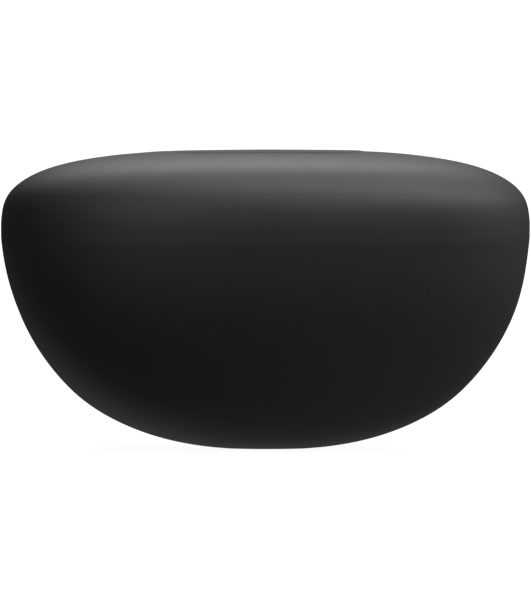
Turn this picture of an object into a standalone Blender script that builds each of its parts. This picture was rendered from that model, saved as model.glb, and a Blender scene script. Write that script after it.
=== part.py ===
"""A basalt massage stone: one solid piece of black basalt, ground to an oval pebble and honed.

Metres, +Z up. The origin is the middle of the small flat on the underside that the stone stands on.
"""

import math

import bpy
from mathutils import Matrix

# Overall sizes
STONE_WIDTH = 0.080  # along X, at the girth
STONE_DEPTH = 0.060  # along Y, at the girth
BELLY_HEIGHT = 0.0347  # from the foot flat up to the girth, where the stone is widest
SHOULDER_HEIGHT = 0.0103  # from the girth up to the crown flat

# The two ground flats, measured along X. Both are ovals of the stone's own proportions
FOOT_WIDTH = 0.0124
CROWN_WIDTH = 0.0294
CROWN_STEP = 0.00015  # how far the crown flat stands proud of the shoulder round it

# Fullness of the two curves: 2 is an ellipse, and a larger number is squarer
SHOULDER_OUTWARD = 3.5
SHOULDER_UPWARD = 2.33
BELLY_OUTWARD = 2.49
BELLY_UPWARD = 2.10

# Fineness of the faceted solid
STEPS_AROUND = 64
SHOULDER_STEPS = 16
BELLY_STEPS = 20
MERGE_DISTANCE = 0.00001
SHARP_ANGLE = math.radians(35)

STONE_HEIGHT = BELLY_HEIGHT + SHOULDER_HEIGHT


def clear_scene():
    for old in list(bpy.data.objects):
        bpy.data.objects.remove(old, do_unlink=True)


def honed_basalt():
    """Near-black stone with the dull sheen of fine honing."""
    material = bpy.data.materials.new("honed_basalt")
    material.use_nodes = True
    shader = material.node_tree.nodes["Principled BSDF"]
    shader.inputs["Base Color"].default_value = (0.018, 0.018, 0.019, 1.0)
    shader.inputs["Roughness"].default_value = 0.42
    shader.inputs["Metallic"].default_value = 0.0
    return material


def curve_from_girth(flat_radius, rise, outward, upward, steps):
    """Points (radius, distance from the girth) of a superellipse that leaves the girth upright.

    It ends where its radius is flat_radius, and there its distance from the girth is rise.
    """
    girth_radius = STONE_WIDTH / 2
    last_angle = math.acos((flat_radius / girth_radius) ** (outward / 2))
    full_rise = rise / math.sin(last_angle) ** (2 / upward)
    points = []
    for step in range(steps + 1):
        angle = last_angle * step / steps
        radius = girth_radius * math.cos(angle) ** (2 / outward)
        points.append((radius, full_rise * math.sin(angle) ** (2 / upward)))
    return points


def half_profile():
    """The stone's outline at +X, from the middle of the crown down to the middle of the foot."""
    crown_radius = CROWN_WIDTH / 2
    shoulder = curve_from_girth(
        crown_radius, SHOULDER_HEIGHT - CROWN_STEP, SHOULDER_OUTWARD, SHOULDER_UPWARD, SHOULDER_STEPS
    )
    belly = curve_from_girth(
        FOOT_WIDTH / 2, BELLY_HEIGHT, BELLY_OUTWARD, BELLY_UPWARD, BELLY_STEPS
    )
    profile = [(0, STONE_HEIGHT), (crown_radius, STONE_HEIGHT)]
    profile += [(radius, BELLY_HEIGHT + above) for radius, above in reversed(shoulder)]
    profile += [(radius, BELLY_HEIGHT - below) for radius, below in belly[1:]]
    profile.append((0, 0))
    return [(radius, 0, height) for radius, height in profile]


def turned_mesh(name, profile):
    """The closed mesh that the profile makes when it is turned round the Z axis."""
    line = bpy.data.meshes.new(name + "_profile")
    line.from_pydata(profile, [(i, i + 1) for i in range(len(profile) - 1)], [])
    turner = bpy.data.objects.new(name + "_turner", line)
    bpy.context.scene.collection.objects.link(turner)
    screw = turner.modifiers.new("turn", "SCREW")
    screw.axis = "Z"
    screw.angle = math.tau
    screw.steps = STEPS_AROUND
    screw.render_steps = STEPS_AROUND
    screw.use_merge_vertices = True
    screw.merge_threshold = MERGE_DISTANCE
    graph = bpy.context.evaluated_depsgraph_get()
    mesh = bpy.data.meshes.new_from_object(turner.evaluated_get(graph))
    mesh.name = name
    bpy.data.objects.remove(turner, do_unlink=True)
    bpy.data.meshes.remove(line)
    return mesh


def basalt_stone():
    """The turned body, narrowed along Y to an oval."""
    mesh = turned_mesh("basalt_stone", half_profile())
    mesh.transform(Matrix.Diagonal((1, STONE_DEPTH / STONE_WIDTH, 1, 1)))
    mesh.shade_smooth()
    mesh.set_sharp_from_angle(angle=SHARP_ANGLE)
    mesh.materials.append(honed_basalt())
    return bpy.data.objects.new("basalt_stone", mesh)


def main():
    clear_scene()
    collection = bpy.data.collections.new("basalt_massage_stone")
    bpy.context.scene.collection.children.link(collection)
    collection.objects.link(basalt_stone())


main()
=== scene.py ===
import math

import bpy
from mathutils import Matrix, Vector, noise


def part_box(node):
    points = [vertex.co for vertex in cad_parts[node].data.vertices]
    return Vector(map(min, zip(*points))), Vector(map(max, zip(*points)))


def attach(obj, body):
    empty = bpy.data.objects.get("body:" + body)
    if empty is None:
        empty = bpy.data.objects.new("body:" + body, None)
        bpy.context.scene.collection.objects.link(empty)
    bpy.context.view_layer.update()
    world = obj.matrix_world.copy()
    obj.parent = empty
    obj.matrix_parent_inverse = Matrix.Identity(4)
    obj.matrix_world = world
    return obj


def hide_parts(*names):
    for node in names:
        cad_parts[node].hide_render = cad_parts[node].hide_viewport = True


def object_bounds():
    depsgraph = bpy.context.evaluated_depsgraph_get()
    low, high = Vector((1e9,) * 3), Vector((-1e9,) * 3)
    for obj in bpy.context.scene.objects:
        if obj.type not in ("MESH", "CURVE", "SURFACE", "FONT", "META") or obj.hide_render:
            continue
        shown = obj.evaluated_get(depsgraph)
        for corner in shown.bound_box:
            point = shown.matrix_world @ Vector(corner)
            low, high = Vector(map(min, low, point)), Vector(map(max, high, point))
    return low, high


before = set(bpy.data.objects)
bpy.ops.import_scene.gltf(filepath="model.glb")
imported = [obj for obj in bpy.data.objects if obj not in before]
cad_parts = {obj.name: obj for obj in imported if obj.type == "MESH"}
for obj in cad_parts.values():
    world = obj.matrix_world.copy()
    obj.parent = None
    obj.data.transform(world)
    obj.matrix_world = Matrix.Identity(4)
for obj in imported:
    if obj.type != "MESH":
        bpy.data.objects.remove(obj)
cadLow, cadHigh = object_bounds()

print("frame loaded, CAD box", [round(1000 * side, 2) for side in cadHigh - cadLow], "mm")


# ---- the stone's shape

# metres. The width, depth, height, girth and flats are read from the frame
stoneShape = {
    "shoulderOutward": 3.5,  # fullness of the curves: 2 is an ellipse, more is squarer
    "shoulderUpward": 2.33,
    "bellyOutward": 2.49,
    "bellyUpward": 2.10,
    "crownStep": 0.00015,  # how far the crown's middle stands above the shoulder at the crown's edge
    "crownFallSide": 0.00011,  # how far the ground crown falls from its middle to its left and right ends
    "crownFallFront": 0.00005,  # and to its front and back
    "crownFallFrontCorner": 0.00003,  # and how much more in between
    "crownFallBackCorner": 0.00005,
    "crownLean": 0.4,  # by what share it falls more at the left end, and less at the right
    "crownSquareness": 3.2,  # 2 makes the crown's plan an oval, more makes it squarer
    "crownDome": 4.0,  # the larger, the flatter the middle of the crown
    "squareReach": 0.028,  # radius where the squarer plan has faded into the oval
    "crownRounding": 0.00006,  # half the width of the band where the crown's edge is worn round
    "endRounding": 0.0008,  # the same at its left and right ends, where hands have worn it most
    "endNarrowness": 14,  # the larger, the shorter the stretch of edge that counts as an end
    "edgeGaps": (0.0002, 0.0004, 0.0007, 0.0011),  # extra rings this far to either side of the edge
    "footRounding": 0.0006,
    "flatRings": 18,
    "edgeRings": 10,
    "shoulderRings": 64,
    "bellyRings": 92,
    "columns": 384,
    "shoulderWear": 0.00005,  # how far the shoulder is worn down between the crown and the turn
    "wearRadius": 0.0265,
    "wearSpread": 0.0055,
    "fillRadius": 0.0165,  # just outside the crown's two ends the shoulder is fuller than its curve
    "fillLeft": {"height": 0.00008, "spread": 0.0018},
    "fillRight": {"height": 0.00004, "spread": 0.0045},
    "fillNarrowness": 4,  # the larger, the nearer to the ends the filling stays
    "bellyDrift": 0.00024,  # how far the low part of the belly leans to the right
    "driftStart": 0.031,  # the height below which it starts
    "driftFull": 0.019,  # and below which it is complete
    "girthBulge": 0.00008,  # how much fuller than its curve the belly is just below the girth
    "girthBulgeDrop": 0.0024,
    "girthBulgeSpread": 0.0022,
    "girthSoftness": 0.00001,  # how gently the girth is kept inside the stone's full width
    "girthClear": 20,  # this many softnesses inside it, nothing needs keeping back
    "girthEase": 0.0022,  # half the stretch over which the belly's curve turns into the shoulder's
    "girthEaseReach": 0.006,  # how far above and below the girth the easing fades out
    "girthEaseSteps": 16,
    "bellyBulge": 0.0004,  # how much fuller than its curve the belly is just above the foot
    "bulgeHeight": 0.006,
    "bulgeSpread": 0.004,
    "unevenness": 0.00002,  # depth of the slow hollows that hand honing leaves
    "unevenLength": 0.014,
    "unevenOffset": (3.1, 7.7, 1.9),  # which hollows of the endless pattern this stone has
    "flatsCalm": 0.985,  # share of the way from the girth to a flat where the hollows have faded out
    "calmFade": 0.06,
    "mergeDistance": 0.000001,
}

# a hair-thin bedding line that honing has cut across, just below the turn of the shoulder
veinLine = {
    "height": 0.03835,
    "riseToRight": 0.0068,
    "fallToBack": 0.0175,
    "width": 0.00011,
    "depth": 0.000009,
    "ringGaps": (0.00004, 0.00008, 0.00013, 0.0002, 0.0003),
    "clearShare": 1.5,  # plain rings within this many times the last gap are left out
    "tiltReach": 0.004,  # rings this near to the line in height lie along it
}


def measuredStone():
    # the CAD stone's own sizes, read off its corners
    low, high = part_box("basalt_stone")
    corners = [corner.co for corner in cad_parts["basalt_stone"].data.vertices]
    nearly = 1e-6
    return {
        "radius": high.x,
        "depthShare": (high.y - low.y) / (high.x - low.x),
        "height": high.z,
        "girth": max(corners, key=lambda corner: corner.x).z,
        "crownRadius": max(c.x for c in corners if c.z > high.z - nearly),
        "footRadius": max(c.x for c in corners if c.z < low.z + nearly),
    }


def smooth(share):
    share = min(1, max(0, share))
    return share * share * (3 - 2 * share)


def bell(away, spread):
    # 1 where away is 0, fading out evenly on both sides
    return math.exp(-((away / spread) ** 2))


class Curve:
    # a superellipse that leaves the girth upright and has risen riseAtFlat where its radius is flatRadius

    def __init__(self, flatRadius, riseAtFlat, outward, upward):
        self.outward = outward
        self.upward = upward
        self.radius = size["radius"]
        self.lastAngle = math.acos((flatRadius / self.radius) ** (outward / 2))
        self.fullRise = riseAtFlat / math.sin(self.lastAngle) ** (2 / upward)

    def riseAt(self, radius):
        return self.fullRise * (1 - (radius / self.radius) ** self.outward) ** (1 / self.upward)

    def radiusAt(self, rise):
        return self.radius * (1 - (rise / self.fullRise) ** self.upward) ** (1 / self.outward)

    def points(self, steps, lastRadius):
        # (radius, rise) from the girth to lastRadius, evenly by angle
        endAngle = math.acos((lastRadius / self.radius) ** (self.outward / 2))
        for step in range(steps + 1):
            angle = endAngle * step / steps
            radius = self.radius * math.cos(angle) ** (2 / self.outward)
            yield radius, self.fullRise * math.sin(angle) ** (2 / self.upward)


size = measuredStone()
shoulder = Curve(
    size["crownRadius"],
    size["height"] - size["girth"] - stoneShape["crownStep"],
    stoneShape["shoulderOutward"],
    stoneShape["shoulderUpward"],
)
belly = Curve(
    size["footRadius"], size["girth"], stoneShape["bellyOutward"], stoneShape["bellyUpward"]
)


def curveRadius(height):
    if height > size["girth"]:
        return shoulder.radiusAt(height - size["girth"])
    return belly.radiusAt(size["girth"] - height)


def easedRadius(height):
    # near the girth it is the mean over a short stretch, so that no edge shows where the two curves meet
    shape = stoneShape
    nearness = 1 - abs(height - size["girth"]) / shape["girthEaseReach"]
    reach = shape["girthEase"] * smooth(nearness)
    if reach == 0:
        return curveRadius(height)
    steps = shape["girthEaseSteps"]
    heights = [height + reach * (2 * step / steps - 1) for step in range(steps + 1)]
    return sum(curveRadius(near) for near in heights) / len(heights)


def flatAndEdge(curve, flatRadius, rounding, flatRise):
    # (radius, rise from the girth) from the middle of a flat over its worn edge to where the curve begins
    shape = stoneShape
    inner = flatRadius - rounding
    points = [(inner * ring / shape["flatRings"], flatRise) for ring in range(shape["flatRings"])]
    for ring in range(shape["edgeRings"]):
        share = ring / shape["edgeRings"]
        radius = inner + 2 * rounding * share
        curved = min(curve.riseAt(radius), flatRise)
        points.append((radius, flatRise + (curved - flatRise) * smooth(share)))
    return points


def stoneProfile():
    # from the middle of the crown down to the middle of the foot
    shape = stoneShape
    crownRise = size["height"] - size["girth"]
    crown = flatAndEdge(shoulder, size["crownRadius"], shape["crownRounding"], crownRise)
    crown = [(r, size["girth"] + rise) for r, rise in crown]
    foot = flatAndEdge(belly, size["footRadius"], shape["footRounding"], size["girth"])
    foot = [(r, size["girth"] - rise) for r, rise in foot]
    crownEnd = size["crownRadius"] + shape["crownRounding"]
    footEnd = size["footRadius"] + shape["footRounding"]
    upper = shoulder.points(shape["shoulderRings"], crownEnd)
    upper = [(r, size["girth"] + rise) for r, rise in upper]
    lower = belly.points(shape["bellyRings"], footEnd)
    lower = [(r, size["girth"] - rise) for r, rise in lower]
    # fine rings on both sides of the bedding line take the place of the plain ones there
    line = veinLine
    clear = line["clearShare"] * line["ringGaps"][-1]
    upper = [(r, z) for r, z in upper if abs(z - line["height"]) > clear]
    for gap in (0,) + line["ringGaps"]:
        for height in {line["height"] - gap, line["height"] + gap}:
            upper.append((shoulder.radiusAt(height - size["girth"]), height))
    for gap in shape["edgeGaps"]:
        crown.append((size["crownRadius"] - shape["crownRounding"] - gap, size["height"]))
        upper.append((crownEnd + gap, size["girth"] + shoulder.riseAt(crownEnd + gap)))
    crown.sort(key=lambda point: point[0])
    upper.sort(key=lambda point: point[0])
    nearGirth = size["girth"] + shape["girthEaseReach"]
    around = [(easedRadius(z) if z < nearGirth else r, z) for r, z in upper + lower[1:]]
    return crown + around + foot[::-1]


def turned(name, profile):
    # the closed mesh that the profile makes when it is turned round the Z axis
    line = bpy.data.meshes.new(name + "Line")
    edges = [(i, i + 1) for i in range(len(profile) - 1)]
    line.from_pydata([(r, 0, z) for r, z in profile], edges, [])
    turner = bpy.data.objects.new(name + "Turner", line)
    bpy.context.scene.collection.objects.link(turner)
    screw = turner.modifiers.new("turn", "SCREW")
    screw.axis = "Z"
    screw.angle = math.tau
    screw.steps = stoneShape["columns"]
    screw.render_steps = stoneShape["columns"]
    screw.use_merge_vertices = True
    screw.merge_threshold = stoneShape["mergeDistance"]
    graph = bpy.context.evaluated_depsgraph_get()
    mesh = bpy.data.meshes.new_from_object(turner.evaluated_get(graph))
    mesh.name = name
    bpy.data.objects.remove(turner, do_unlink=True)
    bpy.data.meshes.remove(line)
    return mesh


def veinOffset(spot):
    # how far above the bedding line's plane a spot of the finished stone lies
    line = veinLine
    return spot.z - (line["height"] + line["riseToRight"] * spot.x - line["fallToBack"] * spot.y)


def veinShare(spot):
    return bell(veinOffset(spot), veinLine["width"])


def tiltedToVein(spot):
    # slides a spot of the shoulder up or down its own curve, so that the rings lie along the bedding line
    line = veinLine
    away = abs(spot.z - line["height"])
    if away > line["tiltReach"] or spot.z <= size["girth"]:
        return spot
    lift = line["riseToRight"] * spot.x - line["fallToBack"] * spot.y * size["depthShare"]
    height = spot.z + lift * smooth(1 - away / line["tiltReach"])
    radius = easedRadius(height)
    outward = Vector((spot.x, spot.y, 0)).normalized()
    return outward * radius + Vector((0, 0, height))


def squaredCrown(spot):
    # the crown was ground on a flat plate, so it has a squarer plan than the oval stone and a slight dome
    shape = stoneShape
    radius = math.hypot(spot.x, spot.y)
    if spot.z <= size["girth"] or radius > shape["squareReach"] or radius == 0:
        return spot
    power = shape["crownSquareness"]
    across = spot.x / radius
    deep = spot.y / radius
    corner = (abs(across) ** power + abs(deep) ** power) ** (-1 / power)
    edge = size["crownRadius"]
    held = smooth((shape["squareReach"] - radius) / (shape["squareReach"] - edge))
    wider = 1 + (corner - 1) * held
    curved = size["girth"] + shoulder.riseAt(radius * wider)
    share = radius / edge
    fall = shape["crownFallSide"] * across ** 2 + shape["crownFallFront"] * deep ** 2
    fallCorner = shape["crownFallBackCorner"] if deep > 0 else shape["crownFallFrontCorner"]
    fall += fallCorner * (2 * across * deep) ** 2
    leaning = 1 - shape["crownLean"] * across * share
    domed = size["height"] - fall * share ** shape["crownDome"] * leaning
    wornEnd = across ** shape["endNarrowness"]
    rounding = shape["crownRounding"] + (shape["endRounding"] - shape["crownRounding"]) * wornEnd
    overEdge = smooth((radius - edge + rounding) / (2 * rounding))
    return Vector((spot.x * wider, spot.y * wider, domed + (curved - domed) * overEdge))


def keptInside(radius):
    # eases a radius off just before it reaches the stone's own
    soft = stoneShape["girthSoftness"]
    spare = (size["radius"] - radius) / soft
    if spare > stoneShape["girthClear"]:
        return radius
    return size["radius"] - soft * math.log1p(math.exp(spare))


def settled(spot):
    # a spot of the true turned form, moved to where hand honing has left it
    shape = stoneShape
    spot = squaredCrown(tiltedToVein(spot))
    radius = math.hypot(spot.x, spot.y)
    if spot.z > size["girth"] and radius > size["crownRadius"]:
        worn = bell(radius - shape["wearRadius"], shape["wearSpread"])
        fill = shape["fillRight"] if spot.x > 0 else shape["fillLeft"]
        nearEnd = (spot.x / radius) ** shape["fillNarrowness"]
        filled = bell(radius - shape["fillRadius"], fill["spread"]) * nearEnd
        spot.z += fill["height"] * filled - shape["shoulderWear"] * worn
    bulge = shape["bellyBulge"] * bell(spot.z - shape["bulgeHeight"], shape["bulgeSpread"])
    fromGirth = spot.z - (size["girth"] - shape["girthBulgeDrop"])
    bulge += shape["girthBulge"] * bell(fromGirth, shape["girthBulgeSpread"])
    if radius > size["footRadius"]:
        spot.xy *= keptInside(radius * (1 + bulge / size["radius"])) / radius
    spot.y *= size["depthShare"]
    inward = Vector((-spot.x, -spot.y / size["depthShare"] ** 2, 0))
    if inward.length > 0:
        inward.normalize()
    # the two ground flats stay even
    toFlat = size["height"] - size["girth"] if spot.z > size["girth"] else size["girth"]
    level = abs((spot.z - size["girth"]) / toFlat)
    besideFlat = smooth((shape["flatsCalm"] - level) / shape["calmFade"])
    hollow = 0.5 + 0.5 * noise.noise(spot / shape["unevenLength"] + Vector(shape["unevenOffset"]))
    hollowDepth = shape["unevenness"] * hollow * besideFlat
    moved = spot + inward * (hollowDepth + veinLine["depth"] * veinShare(spot))
    drifted = (shape["driftStart"] - spot.z) / (shape["driftStart"] - shape["driftFull"])
    moved.x += shape["bellyDrift"] * smooth(drifted)
    return moved


def honedStone():
    mesh = turned("honed_stone", stoneProfile())
    for corner in mesh.vertices:
        corner.co = settled(corner.co.copy())
    vein = mesh.attributes.new("vein", "FLOAT", "POINT")
    for corner in mesh.vertices:
        vein.data[corner.index].value = veinShare(corner.co)
    mesh.shade_smooth()
    mesh.materials.append(honedBasalt())
    stone = bpy.data.objects.new("honed_stone", mesh)
    bpy.context.scene.collection.objects.link(stone)
    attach(stone, "root")
    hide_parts("basalt_stone")
    return stone


# ---- the stone's finish

# colours are linear, and grain sizes are in metres
basaltFinish = {
    "darkTone": 0.0175,
    "paleTone": 0.0225,
    "cloudSize": 0.009,
    "cloudDetail": 3.0,
    "crystalSize": 0.0004,
    "crystalContrast": 0.10,
    "fleckTone": 0.030,
    "fleckSize": 0.0011,
    "fleckShare": 0.10,  # radius of a fleck as a share of the space between flecks
    "veinTone": 0.0130,
    "roughness": 0.40,
    "roughnessSpread": 0.05,
    "smearSize": 0.0035,
    "smearDetail": 2.0,
    "crystalGloss": 0.4,  # share of the crystals in the spread of roughness, the smears have the rest
    "ior": 1.57,
    "grainSize": 0.00028,
    "grainDetail": 2.0,
    "grainDepth": 0.0000030,
    "pitSize": 0.0016,
    "pitShare": 0.07,
    "pitDepth": 0.000006,
}


def node(tree, kind, inputs=None, **settings):
    # a node with its settings, and its inputs set to a value or joined to another node's output
    made = tree.nodes.new("ShaderNode" + kind)
    for name, value in settings.items():
        setattr(made, name, value)
    for name, value in (inputs or {}).items():
        if isinstance(value, bpy.types.NodeSocket):
            tree.links.new(value, made.inputs[name])
        else:
            made.inputs[name].default_value = value
    return made


def newMaterial(name):
    material = bpy.data.materials.new(name)
    material.use_nodes = True
    tree = material.node_tree
    tree.nodes.clear()
    return material, tree


def grey(tone):
    return (tone, tone, tone, 1)


def between(tree, share, low, high):
    # share from 0 to 1 becomes a tone from low to high
    return node(tree, "MapRange", {"Value": share, "To Min": low, "To Max": high}).outputs["Result"]


def clumps(tree, place, clumpSize, detail):
    inputs = {"Vector": place, "Scale": 1 / clumpSize, "Detail": detail}
    return node(tree, "TexNoise", inputs).outputs["Fac"]


def cells(tree, place, spacing):
    return node(tree, "TexVoronoi", {"Vector": place, "Scale": 1 / spacing}, feature="F1").outputs


def spots(tree, place, spacing, shareOfSpacing):
    # 1 in the middle of small scattered round spots and 0 between them
    inputs = {
        "Value": cells(tree, place, spacing)["Distance"],
        "From Min": 0,
        "From Max": shareOfSpacing,
        "To Min": 1,
        "To Max": 0,
    }
    return node(tree, "MapRange", inputs, interpolation_type="SMOOTHSTEP").outputs["Result"]


def blended(tree, share, first, second):
    mixer = node(tree, "Mix", data_type="FLOAT")
    for socket, value in (("Factor", share), ("A", first), ("B", second)):
        if isinstance(value, bpy.types.NodeSocket):
            tree.links.new(value, mixer.inputs[socket])
        else:
            mixer.inputs[socket].default_value = value
    return mixer.outputs["Result"]


def honedBasalt():
    finish = basaltFinish
    material, tree = newMaterial("honed_basalt_fine")
    place = node(tree, "TexCoord").outputs["Object"]

    # tone: slow clouds, a salt and pepper of fine crystals, a few paler flecks and the bedding line
    clouds = clumps(tree, place, finish["cloudSize"], finish["cloudDetail"])
    tone = between(tree, clouds, finish["darkTone"], finish["paleTone"])
    crystals = cells(tree, place, finish["crystalSize"])["Color"]
    contrast = finish["crystalContrast"]
    sparkle = between(tree, crystals, 1 - contrast, 1 + contrast)
    tone = node(tree, "Math", {0: tone, 1: sparkle}, operation="MULTIPLY").outputs[0]
    flecks = spots(tree, place, finish["fleckSize"], finish["fleckShare"])
    tone = blended(tree, flecks, tone, finish["fleckTone"])
    vein = node(tree, "Attribute", attribute_name="vein").outputs["Fac"]
    tone = blended(tree, vein, tone, finish["veinTone"])

    # gloss: faint smears of the honing, and crystals that take the polish a little differently
    smears = clumps(tree, place, finish["smearSize"], finish["smearDetail"])
    gloss = blended(tree, finish["crystalGloss"], smears, crystals)
    spread = finish["roughnessSpread"]
    roughness = between(tree, gloss, finish["roughness"] - spread, finish["roughness"] + spread)

    # relief: fine grain and a scatter of pin-prick pits
    grain = {
        "Height": clumps(tree, place, finish["grainSize"], finish["grainDetail"]),
        "Distance": finish["grainDepth"],
        "Strength": 1.0,
    }
    pits = {
        "Height": spots(tree, place, finish["pitSize"], finish["pitShare"]),
        "Distance": finish["pitDepth"],
        "Strength": 1.0,
        "Normal": node(tree, "Bump", grain).outputs["Normal"],
    }
    relief = node(tree, "Bump", pits, invert=True).outputs["Normal"]

    stoneLook = {"Base Color": tone, "Roughness": roughness, "IOR": finish["ior"], "Normal": relief}
    shader = node(tree, "BsdfPrincipled", stoneLook)
    node(tree, "OutputMaterial", {"Surface": shader.outputs["BSDF"]})
    return material


stone = honedStone()
print("stone made with", len(stone.data.vertices), "corners")


# ---- the floor

# metres. It lies a hair below the foot flat, so that the two faces don't flicker through each other
paleFloor = {
    "radius": 3.0,
    "sides": 96,
    "glow": 0.95,  # nearly white by itself, so that it merges with the backdrop
    "tone": 0.20,  # share of the light that it gives back, from which the stone's faint shadow is taken
    "gapBelowFoot": 0.0001,
}


def makeFloor():
    bpy.ops.mesh.primitive_circle_add(
        vertices=paleFloor["sides"], radius=paleFloor["radius"], fill_type="TRIFAN",
        location=(0, 0, cadLow.z - paleFloor["gapBelowFoot"]),
    )
    floor = bpy.context.object
    floor.name = "pale_floor"
    material, tree = newMaterial("pale_floor")
    matte = node(tree, "BsdfDiffuse", {"Color": grey(paleFloor["tone"])})
    glow = node(tree, "Emission", {"Color": grey(1), "Strength": paleFloor["glow"]})
    pale = node(tree, "AddShader", {0: matte.outputs[0], 1: glow.outputs[0]})
    # the floor is clear from below, so that the stone's underside can be seen
    clear = node(tree, "BsdfTransparent")
    below = node(tree, "NewGeometry").outputs["Backfacing"]
    both = node(tree, "MixShader", {0: below, 1: pale.outputs[0], 2: clear.outputs[0]})
    node(tree, "OutputMaterial", {"Surface": both.outputs[0]})
    floor.data.materials.append(material)
    # the stone is lit from below by the studio's dim ground, so the floor is only there to be seen
    floor.visible_diffuse = False
    floor.visible_glossy = False
    floor.visible_shadow = False


makeFloor()
print("floor laid")


# ---- the light

# degrees: azimuth 0 is on the viewer's side and 90 on the right. Spread is how wide a light fades out
softLights = {
    "overhead": {"azimuth": 0, "elevation": 90, "spread": 30, "strength": 1.4},
    "rear": {"azimuth": 180, "elevation": 36, "spread": 12, "strength": 1.9},
    "rearLeft": {"azimuth": -160, "elevation": 50, "spread": 15, "strength": 0.5},
    "rightBank": {"azimuth": 100, "elevation": 45, "spread": 35, "strength": 1.6},
    "frontRight": {"azimuth": 25, "elevation": 35, "spread": 30, "strength": 0.8},
    "frontLeft": {"azimuth": -40, "elevation": 25, "spread": 30, "strength": 0.8},
    "groundLeft": {"azimuth": -150, "elevation": -35, "spread": 20, "strength": 0.15},
    "groundBehind": {"azimuth": 180, "elevation": -20, "spread": 15, "strength": 0.1},
    "groundRight": {"azimuth": 90, "elevation": -60, "spread": 60, "strength": 0.15},
}
backdropGlow = 1.05


def compass(azimuth, elevation):
    across = math.radians(azimuth)
    up = math.radians(elevation)
    return (math.cos(up) * math.sin(across), -math.cos(up) * math.cos(across), math.sin(up))


def makeLight():
    world = bpy.data.worlds.new("soft_studio")
    bpy.context.scene.world = world
    world.use_nodes = True
    tree = world.node_tree
    tree.nodes.clear()
    direction = node(tree, "TexCoord").outputs["Generated"]
    total = 0.0
    for light in softLights.values():
        tightness = 1 / (1 - math.cos(math.radians(light["spread"])))
        toLight = {0: direction, 1: compass(light["azimuth"], light["elevation"])}
        facing = node(tree, "VectorMath", toLight, operation="DOT_PRODUCT").outputs["Value"]
        fall = {0: facing, 1: tightness, 2: -tightness}
        falling = node(tree, "Math", fall, operation="MULTIPLY_ADD").outputs[0]
        faded = node(tree, "Math", {0: falling}, operation="EXPONENT").outputs[0]
        added = {0: faded, 1: light["strength"], 2: total}
        total = node(tree, "Math", added, operation="MULTIPLY_ADD").outputs[0]
    lamps = node(tree, "Background", {"Color": grey(1), "Strength": total})
    backdrop = node(tree, "Background", {"Color": grey(1), "Strength": backdropGlow})
    seen = node(tree, "LightPath").outputs["Is Camera Ray"]
    both = node(tree, "MixShader", {0: seen, 1: lamps.outputs[0], 2: backdrop.outputs[0]})
    node(tree, "OutputWorld", {"Surface": both.outputs[0]})


makeLight()
print("studio lit with", len(softLights), "soft lights")


# ---- the camera

# metres and degrees. frameHeight is how much of the stone's plane the picture takes in from top to bottom
lookout = {
    "elevation": 1.6,
    "distance": 3.0,
    "frameHeight": 0.09074,
    "aimRight": 0.00002,
    "aimUp": -0.0001,
    "nearest": 0.01,  # nothing nearer or farther than these is seen
    "farthest": 30,
}


def makeCamera():
    data = bpy.data.cameras.new("studio_camera")
    camera = bpy.data.objects.new("studio_camera", data)
    bpy.context.scene.collection.objects.link(camera)
    bpy.context.scene.camera = camera
    data.lens = data.sensor_width * lookout["distance"] / lookout["frameHeight"]
    data.clip_start = lookout["nearest"]
    data.clip_end = lookout["farthest"]
    middle = (cadLow + cadHigh) / 2
    aim = middle + Vector((lookout["aimRight"], 0, lookout["aimUp"]))
    back = Vector(compass(0, lookout["elevation"]))
    camera.location = aim + back * lookout["distance"]
    camera.rotation_euler = (-back).to_track_quat("-Z", "Y").to_euler()


makeCamera()
bpy.context.scene.view_settings.view_transform = "Standard"
print("camera placed")
